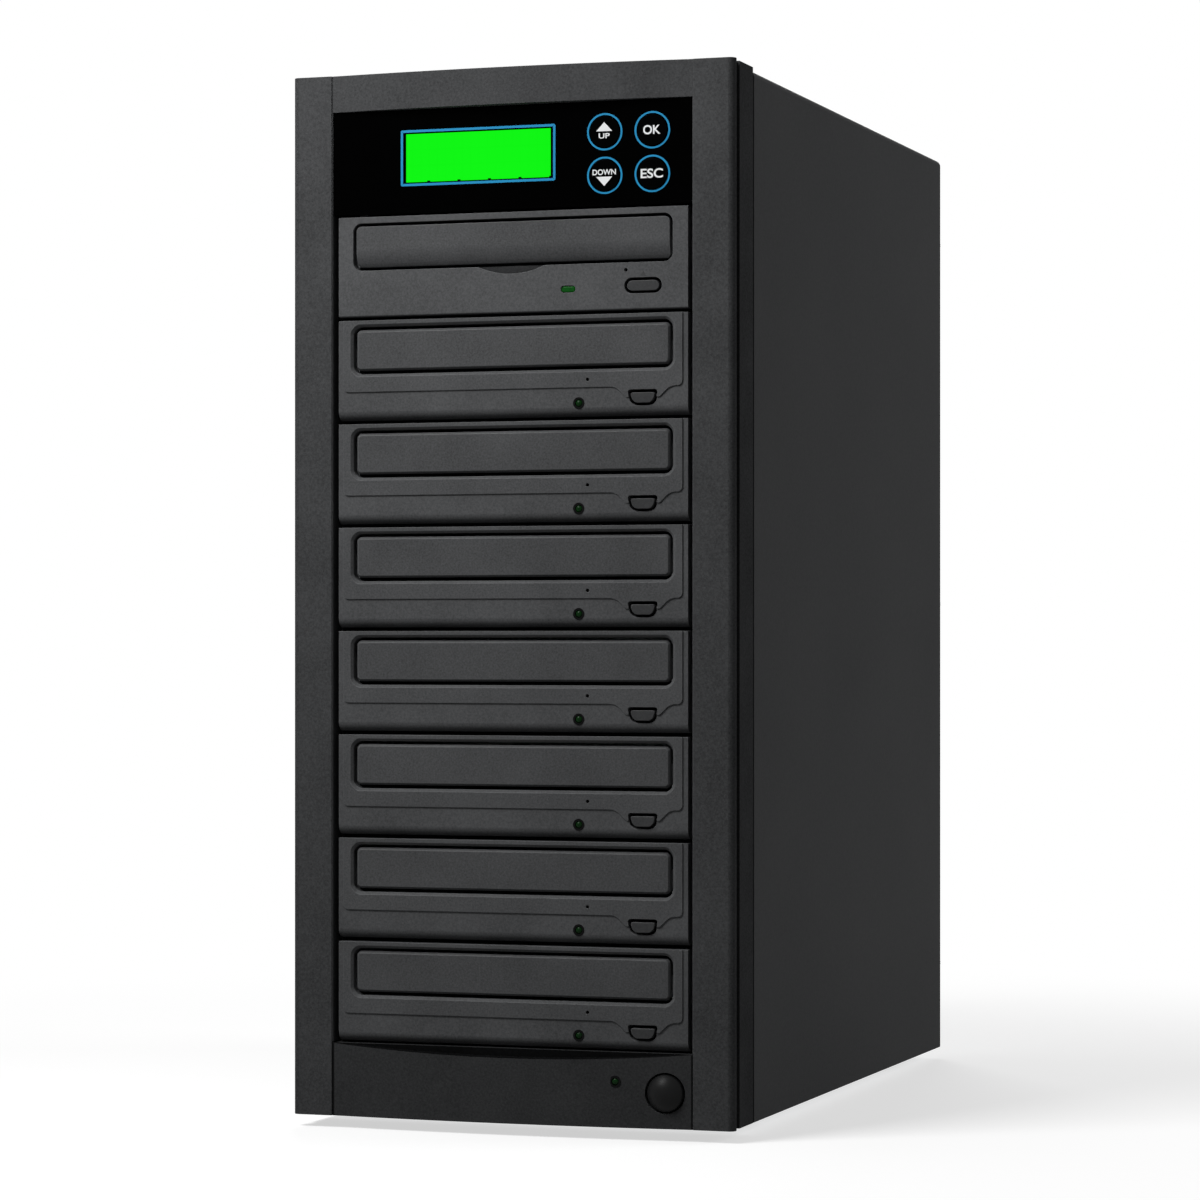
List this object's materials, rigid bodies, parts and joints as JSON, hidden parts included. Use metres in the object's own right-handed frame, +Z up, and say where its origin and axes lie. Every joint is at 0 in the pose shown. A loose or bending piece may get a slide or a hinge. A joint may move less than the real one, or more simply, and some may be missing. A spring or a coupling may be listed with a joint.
{
  "type": "disc duplicator tower",
  "caption": "Upright disc duplicator with a stack of tray drives, a lit control panel, a power button, a steel case, a rear fan and a power supply",
  "frame": {"origin": "under the middle of the tower, on the surface that it stands on", "axes": "+X to the viewer's right seen from the front, +Y from the front to the rear, +Z up"},
  "size_m": [0.19, 0.3612, 0.4325],
  "materials": {
    "bezel_plastic": "black moulded plastic with a fine spark texture",
    "cover_paint": "black powder coat on sheet steel",
    "zinc_steel": "bare zinc-plated sheet steel",
    "screw_steel": "blackened steel with a knurled head",
    "foot_rubber": "soft black rubber",
    "panel_gloss": "polished black plastic",
    "display_glow": "back-lit green display behind a clear window",
    "board_green": "solder-masked circuit board",
    "key_gloss": "polished black key caps",
    "button_gloss": "smooth black domed button",
    "switch_plastic": "plain black switch body",
    "inlet_plastic": "plain black socket plastic",
    "fascia_plastic": "charcoal moulded plastic, satin",
    "door_plastic": "charcoal moulded plastic, satin",
    "tray_plastic": "black tray plastic, satin",
    "eject_plastic": "charcoal moulded plastic, satin",
    "lamp_green": "tinted clear lens, unlit",
    "fan_plastic": "black glass-filled plastic"
  },
  "bodies": {
    "case": {"chassis": "zinc_steel", "control_panel": "panel_gloss", "controller_board": "board_green", "cover": "cover_paint", "cover_screws": "screw_steel", "drive_1_fascia": "fascia_plastic", "drive_2_fascia": "fascia_plastic", "drive_3_fascia": "fascia_plastic", "drive_4_fascia": "fascia_plastic", "drive_5_fascia": "fascia_plastic", "drive_6_fascia": "fascia_plastic", "drive_7_fascia": "fascia_plastic", "drive_8_fascia": "fascia_plastic", "drive_cage": "zinc_steel", "drive_housings": "zinc_steel", "feet": "foot_rubber", "front_bezel": "bezel_plastic", "indicator_lamps": "lamp_green", "lcd_module": "display_glow", "power_switch": "switch_plastic", "psu_case": "zinc_steel", "psu_fan_frame": "fan_plastic", "psu_inlet": "inlet_plastic", "rear_fan_frame": "fan_plastic", "rocker_frame": "inlet_plastic"},
    "tray_1": {"drive_1_tray": "tray_plastic", "drive_1_tray_door": "door_plastic"},
    "tray_2": {"drive_2_tray": "tray_plastic", "drive_2_tray_door": "door_plastic"},
    "tray_3": {"drive_3_tray": "tray_plastic", "drive_3_tray_door": "door_plastic"},
    "tray_4": {"drive_4_tray": "tray_plastic", "drive_4_tray_door": "door_plastic"},
    "tray_5": {"drive_5_tray": "tray_plastic", "drive_5_tray_door": "door_plastic"},
    "tray_6": {"drive_6_tray": "tray_plastic", "drive_6_tray_door": "door_plastic"},
    "tray_7": {"drive_7_tray": "tray_plastic", "drive_7_tray_door": "door_plastic"},
    "tray_8": {"drive_8_tray": "tray_plastic", "drive_8_tray_door": "door_plastic"},
    "eject_1": {"drive_1_eject_button": "eject_plastic"},
    "eject_2": {"drive_2_eject_button": "eject_plastic"},
    "eject_3": {"drive_3_eject_button": "eject_plastic"},
    "eject_4": {"drive_4_eject_button": "eject_plastic"},
    "eject_5": {"drive_5_eject_button": "eject_plastic"},
    "eject_6": {"drive_6_eject_button": "eject_plastic"},
    "eject_7": {"drive_7_eject_button": "eject_plastic"},
    "eject_8": {"drive_8_eject_button": "eject_plastic"},
    "press_up": {"key_up": "key_gloss"},
    "press_ok": {"key_ok": "key_gloss"},
    "press_down": {"key_down": "key_gloss"},
    "press_esc": {"key_esc": "key_gloss"},
    "press_power": {"power_button": "button_gloss"},
    "rocker": {"psu_rocker": "inlet_plastic"},
    "rear_fan_spin": {"rear_fan_rotor": "fan_plastic"},
    "psu_fan_spin": {"psu_fan_rotor": "fan_plastic"}
  },
  "joints": [
    {"name": "tray_1_slide", "type": "slide", "parent": "case", "child": "tray_1", "axis": [0, -1, 0], "range_m": [0, 0.132]},
    {"name": "tray_2_slide", "type": "slide", "parent": "case", "child": "tray_2", "axis": [0, -1, 0], "range_m": [0, 0.132]},
    {"name": "tray_3_slide", "type": "slide", "parent": "case", "child": "tray_3", "axis": [0, -1, 0], "range_m": [0, 0.132]},
    {"name": "tray_4_slide", "type": "slide", "parent": "case", "child": "tray_4", "axis": [0, -1, 0], "range_m": [0, 0.132]},
    {"name": "tray_5_slide", "type": "slide", "parent": "case", "child": "tray_5", "axis": [0, -1, 0], "range_m": [0, 0.132]},
    {"name": "tray_6_slide", "type": "slide", "parent": "case", "child": "tray_6", "axis": [0, -1, 0], "range_m": [0, 0.132]},
    {"name": "tray_7_slide", "type": "slide", "parent": "case", "child": "tray_7", "axis": [0, -1, 0], "range_m": [0, 0.132]},
    {"name": "tray_8_slide", "type": "slide", "parent": "case", "child": "tray_8", "axis": [0, -1, 0], "range_m": [0, 0.132]},
    {"name": "eject_1_press", "type": "slide", "parent": "case", "child": "eject_1", "axis": [0, 1, 0], "range_m": [0, 0.0008], "stiffness_N_per_m": 1200},
    {"name": "eject_2_press", "type": "slide", "parent": "case", "child": "eject_2", "axis": [0, 1, 0], "range_m": [0, 0.0008], "stiffness_N_per_m": 1200},
    {"name": "eject_3_press", "type": "slide", "parent": "case", "child": "eject_3", "axis": [0, 1, 0], "range_m": [0, 0.0008], "stiffness_N_per_m": 1200},
    {"name": "eject_4_press", "type": "slide", "parent": "case", "child": "eject_4", "axis": [0, 1, 0], "range_m": [0, 0.0008], "stiffness_N_per_m": 1200},
    {"name": "eject_5_press", "type": "slide", "parent": "case", "child": "eject_5", "axis": [0, 1, 0], "range_m": [0, 0.0008], "stiffness_N_per_m": 1200},
    {"name": "eject_6_press", "type": "slide", "parent": "case", "child": "eject_6", "axis": [0, 1, 0], "range_m": [0, 0.0008], "stiffness_N_per_m": 1200},
    {"name": "eject_7_press", "type": "slide", "parent": "case", "child": "eject_7", "axis": [0, 1, 0], "range_m": [0, 0.0008], "stiffness_N_per_m": 1200},
    {"name": "eject_8_press", "type": "slide", "parent": "case", "child": "eject_8", "axis": [0, 1, 0], "range_m": [0, 0.0008], "stiffness_N_per_m": 1200},
    {"name": "key_up_press", "type": "slide", "parent": "case", "child": "press_up", "axis": [0, 1, 0], "range_m": [0, 0.0008], "stiffness_N_per_m": 1500},
    {"name": "key_ok_press", "type": "slide", "parent": "case", "child": "press_ok", "axis": [0, 1, 0], "range_m": [0, 0.0008], "stiffness_N_per_m": 1500},
    {"name": "key_down_press", "type": "slide", "parent": "case", "child": "press_down", "axis": [0, 1, 0], "range_m": [0, 0.0008], "stiffness_N_per_m": 1500},
    {"name": "key_esc_press", "type": "slide", "parent": "case", "child": "press_esc", "axis": [0, 1, 0], "range_m": [0, 0.0008], "stiffness_N_per_m": 1500},
    {"name": "power_button_press", "type": "slide", "parent": "case", "child": "press_power", "axis": [0, 1, 0], "range_m": [0, 0.002], "stiffness_N_per_m": 900},
    {"name": "rocker_tilt", "type": "hinge", "parent": "case", "child": "rocker", "pos_m": [0.051, 0.1712, 0.068], "axis": [1, 0, 0], "range_deg": [-18, 0]},
    {"name": "rear_fan_turn", "type": "hinge", "parent": "case", "child": "rear_fan_spin", "pos_m": [0, 0.159, 0.242], "axis": [0, 1, 0], "continuous": true},
    {"name": "psu_fan_turn", "type": "hinge", "parent": "case", "child": "psu_fan_spin", "pos_m": [-0.03, 0.159, 0.049], "axis": [0, 1, 0], "continuous": true}
  ]
}
